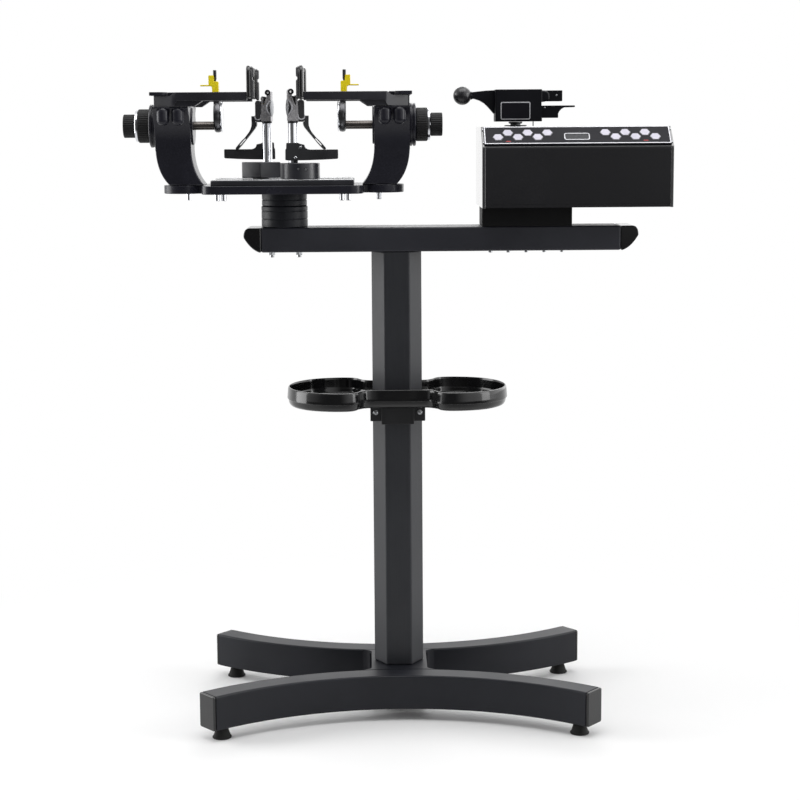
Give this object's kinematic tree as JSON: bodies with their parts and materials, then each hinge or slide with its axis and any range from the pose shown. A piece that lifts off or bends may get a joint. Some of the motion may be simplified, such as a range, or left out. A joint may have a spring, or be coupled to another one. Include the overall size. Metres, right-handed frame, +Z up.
{
  "type": "racket stringing machine",
  "caption": "Floor-standing racket stringing machine with turntable, sliding string clamps, side arms, tool tray and electronic tension head.",
  "frame": {"origin": "on the floor below the column's axis, which is also the middle of the whole machine's box", "axes": "+Z up; -Y is the front, where the control panel is read; +X towards the tension head"},
  "size_m": [0.9116, 0.4202, 1.1044],
  "materials": {
    "frame_paint": "satin blue-black powder coat",
    "gloss_paint": "gloss black enamel",
    "satin_paint": "satin black paint",
    "black_plastic": "gloss black",
    "matte_plastic": "matte black",
    "foot_rubber": "matte black",
    "bright_aluminium": "mirror polished",
    "cast_aluminium": "satin",
    "grey_steel": "satin grey",
    "clamp_steel": "bead blasted",
    "yellow_plastic": "satin yellow",
    "key_plastic": "white",
    "motor_case": "grey paint"
  },
  "bodies": {
    "stand": {"front_leg": "frame_paint", "rear_leg": "frame_paint", "base_hub": "frame_paint", "front_left_foot": "foot_rubber", "rear_left_foot": "foot_rubber", "front_right_foot": "foot_rubber", "rear_right_foot": "foot_rubber", "column": "frame_paint", "beam": "frame_paint", "left_beam_cap": "black_plastic", "right_beam_cap": "black_plastic", "tool_tray": "black_plastic", "tray_collar": "black_plastic", "spindle_base": "frame_paint", "pedestal": "satin_paint", "housing": "satin_paint", "drive_motor": "motor_case", "guide_bar": "grey_steel", "control_panel": "black_plastic"},
    "turntable": {"turntable_hub": "frame_paint", "turntable_plate": "gloss_paint", "clamp_rail": "bright_aluminium", "left_tower": "gloss_paint", "right_tower": "gloss_paint"},
    "left_side_wheel": {"left_side_knob": "matte_plastic"},
    "left_head_wheel": {"left_head_knob": "matte_plastic"},
    "left_support": {"left_head_support": "grey_steel", "left_frame_rest": "yellow_plastic"},
    "left_front_side_arm": {"left_front_arm": "satin_paint"},
    "left_rear_side_arm": {"left_rear_arm": "satin_paint"},
    "right_side_wheel": {"right_side_knob": "matte_plastic"},
    "right_head_wheel": {"right_head_knob": "matte_plastic"},
    "right_support": {"right_head_support": "grey_steel", "right_frame_rest": "yellow_plastic"},
    "right_front_side_arm": {"right_front_arm": "satin_paint"},
    "right_rear_side_arm": {"right_rear_arm": "satin_paint"},
    "front_clamp_slider": {"front_clamp_base": "satin_paint"},
    "front_lock": {"front_clamp_lever": "satin_paint"},
    "front_head": {"front_clamp_head": "clamp_steel"},
    "front_handle": {"front_jaw_handle": "satin_paint"},
    "rear_clamp_slider": {"rear_clamp_base": "satin_paint"},
    "rear_lock": {"rear_clamp_lever": "satin_paint"},
    "rear_head": {"rear_clamp_head": "clamp_steel"},
    "rear_handle": {"rear_jaw_handle": "satin_paint"},
    "gripper": {"gripper_carriage": "cast_aluminium", "gripper_body": "satin_paint"},
    "trigger": {"ball_lever": "gloss_paint"},
    "jaw": {"lower_jaw": "satin_paint"},
    "button_1": {"key_1": "key_plastic"},
    "button_2": {"key_2": "key_plastic"},
    "button_3": {"key_3": "key_plastic"},
    "button_4": {"key_4": "key_plastic"},
    "button_5": {"key_5": "key_plastic"},
    "button_6": {"key_6": "key_plastic"},
    "button_7": {"key_7": "key_plastic"},
    "button_8": {"key_8": "key_plastic"},
    "button_9": {"key_9": "key_plastic"},
    "button_10": {"key_10": "key_plastic"},
    "button_11": {"key_11": "key_plastic"},
    "button_12": {"key_12": "key_plastic"}
  },
  "joints": [
    {"name": "turntable_spin", "type": "hinge", "parent": "stand", "child": "turntable", "pos_m": [-0.1885, 0, 0.9084], "axis": [0, 0, 1], "continuous": true},
    {"name": "left_side_wheel_turn", "type": "hinge", "parent": "turntable", "child": "left_side_wheel", "pos_m": [-0.4205, 0, 1.007], "axis": [1, 0, 0], "range_deg": [-900, 0]},
    {"name": "left_front_arm_swing", "type": "hinge", "parent": "turntable", "child": "left_front_side_arm", "pos_m": [-0.385, -0.063, 1.0435], "axis": [0, 0, 1], "range_deg": [-30.5, 0.5]},
    {"name": "left_rear_arm_swing", "type": "hinge", "parent": "turntable", "child": "left_rear_side_arm", "pos_m": [-0.385, 0.063, 1.0435], "axis": [0, 0, -1], "range_deg": [-30.5, 0.5]},
    {"name": "left_head_wheel_turn", "type": "hinge", "parent": "turntable", "child": "left_head_wheel", "pos_m": [-0.4445, 0, 1.007], "axis": [1, 0, 0], "range_deg": [-2180, 1820]},
    {"name": "left_support_slide", "type": "slide", "parent": "turntable", "child": "left_support", "axis": [1, 0, 0], "range_m": [-0.03, 0.025]},
    {"name": "right_side_wheel_turn", "type": "hinge", "parent": "turntable", "child": "right_side_wheel", "pos_m": [0.0435, 0, 1.007], "axis": [1, 0, 0], "range_deg": [-900, 0]},
    {"name": "right_front_arm_swing", "type": "hinge", "parent": "turntable", "child": "right_front_side_arm", "pos_m": [0.008, -0.063, 1.0435], "axis": [0, 0, -1], "range_deg": [-30.5, 0.5]},
    {"name": "right_rear_arm_swing", "type": "hinge", "parent": "turntable", "child": "right_rear_side_arm", "pos_m": [0.008, 0.063, 1.0435], "axis": [0, 0, 1], "range_deg": [-30.5, 0.5]},
    {"name": "right_head_wheel_turn", "type": "hinge", "parent": "turntable", "child": "right_head_wheel", "pos_m": [0.0675, 0, 1.007], "axis": [1, 0, 0], "range_deg": [-2900, 1100]},
    {"name": "right_support_slide", "type": "slide", "parent": "turntable", "child": "right_support", "axis": [-1, 0, 0], "range_m": [-0.04, 0.015]},
    {"name": "front_clamp_slide", "type": "slide", "parent": "turntable", "child": "front_clamp_slider", "axis": [1, 0, 0], "range_m": [-0.112, 0.05]},
    {"name": "front_head_swivel", "type": "hinge", "parent": "front_clamp_slider", "child": "front_head", "pos_m": [-0.1709, -0.042, 0.9482], "axis": [0, 0, 1], "continuous": true},
    {"name": "front_lock_lift", "type": "hinge", "parent": "front_clamp_slider", "child": "front_lock", "pos_m": [-0.1664, -0.0583, 0.9541], "axis": [0, -1, 0], "range_deg": [0, 15]},
    {"name": "front_jaw_release", "type": "hinge", "parent": "front_head", "child": "front_handle", "pos_m": [-0.14802, -0.03817, 1.0204], "axis": [0.165, -0.9863, 0], "range_deg": [0, 25]},
    {"name": "rear_clamp_slide", "type": "slide", "parent": "turntable", "child": "rear_clamp_slider", "axis": [-1, 0, 0], "range_m": [-0.1, 0.05]},
    {"name": "rear_head_swivel", "type": "hinge", "parent": "rear_clamp_slider", "child": "rear_head", "pos_m": [-0.218, 0.042, 0.9482], "axis": [0, 0, 1], "continuous": true},
    {"name": "rear_lock_lift", "type": "hinge", "parent": "rear_clamp_slider", "child": "rear_lock", "pos_m": [-0.2225, 0.0583, 0.9541], "axis": [0, 1, 0], "range_deg": [0, 15]},
    {"name": "rear_jaw_release", "type": "hinge", "parent": "rear_head", "child": "rear_handle", "pos_m": [-0.24088, 0.04583, 1.0204], "axis": [0.165, 0.9863, 0], "range_deg": [0, 25]},
    {"name": "gripper_pull", "type": "slide", "parent": "stand", "child": "gripper", "axis": [1, 0, 0], "range_m": [0, 0.15]},
    {"name": "trigger_press", "type": "hinge", "parent": "gripper", "child": "trigger", "pos_m": [0.182, 0, 1.0453], "axis": [0, -1, 0], "range_deg": [0, 14], "stiffness_Nm_per_rad": 0.3, "springref_deg": -17.19},
    {"name": "jaw_close", "type": "slide", "parent": "gripper", "child": "jaw", "axis": [0, 0, 1], "range_m": [0, 0.006]},
    {"name": "key_1_press", "type": "slide", "parent": "stand", "child": "button_1", "axis": [0, 0.587, -0.8096], "range_m": [0, 0.001], "stiffness_N_per_m": 200, "springref_m": -0.002},
    {"name": "key_2_press", "type": "slide", "parent": "stand", "child": "button_2", "axis": [0, 0.587, -0.8096], "range_m": [0, 0.001], "stiffness_N_per_m": 200, "springref_m": -0.002},
    {"name": "key_3_press", "type": "slide", "parent": "stand", "child": "button_3", "axis": [0, 0.587, -0.8096], "range_m": [0, 0.001], "stiffness_N_per_m": 200, "springref_m": -0.002},
    {"name": "key_4_press", "type": "slide", "parent": "stand", "child": "button_4", "axis": [0, 0.587, -0.8096], "range_m": [0, 0.001], "stiffness_N_per_m": 200, "springref_m": -0.002},
    {"name": "key_5_press", "type": "slide", "parent": "stand", "child": "button_5", "axis": [0, 0.587, -0.8096], "range_m": [0, 0.001], "stiffness_N_per_m": 200, "springref_m": -0.002},
    {"name": "key_6_press", "type": "slide", "parent": "stand", "child": "button_6", "axis": [0, 0.587, -0.8096], "range_m": [0, 0.001], "stiffness_N_per_m": 200, "springref_m": -0.002},
    {"name": "key_7_press", "type": "slide", "parent": "stand", "child": "button_7", "axis": [0, 0.587, -0.8096], "range_m": [0, 0.001], "stiffness_N_per_m": 200, "springref_m": -0.002},
    {"name": "key_8_press", "type": "slide", "parent": "stand", "child": "button_8", "axis": [0, 0.587, -0.8096], "range_m": [0, 0.001], "stiffness_N_per_m": 200, "springref_m": -0.002},
    {"name": "key_9_press", "type": "slide", "parent": "stand", "child": "button_9", "axis": [0, 0.587, -0.8096], "range_m": [0, 0.001], "stiffness_N_per_m": 200, "springref_m": -0.002},
    {"name": "key_10_press", "type": "slide", "parent": "stand", "child": "button_10", "axis": [0, 0.587, -0.8096], "range_m": [0, 0.001], "stiffness_N_per_m": 200, "springref_m": -0.002},
    {"name": "key_11_press", "type": "slide", "parent": "stand", "child": "button_11", "axis": [0, 0.587, -0.8096], "range_m": [0, 0.001], "stiffness_N_per_m": 200, "springref_m": -0.002},
    {"name": "key_12_press", "type": "slide", "parent": "stand", "child": "button_12", "axis": [0, 0.587, -0.8096], "range_m": [0, 0.001], "stiffness_N_per_m": 200, "springref_m": -0.002}
  ],
  "couplings": [
    {"joint": "left_front_arm_swing", "follows": "left_side_wheel_turn", "ratio": 0.033333},
    {"joint": "left_rear_arm_swing", "follows": "left_side_wheel_turn", "ratio": 0.033333},
    {"joint": "left_head_wheel_turn", "follows": "left_support_slide", "rad_per_m": 1256.6},
    {"joint": "right_front_arm_swing", "follows": "right_side_wheel_turn", "ratio": 0.033333},
    {"joint": "right_rear_arm_swing", "follows": "right_side_wheel_turn", "ratio": 0.033333},
    {"joint": "right_head_wheel_turn", "follows": "right_support_slide", "rad_per_m": 1256.6},
    {"joint": "jaw_close", "follows": "trigger_press", "m_per_rad": 0.0245}
  ]
}
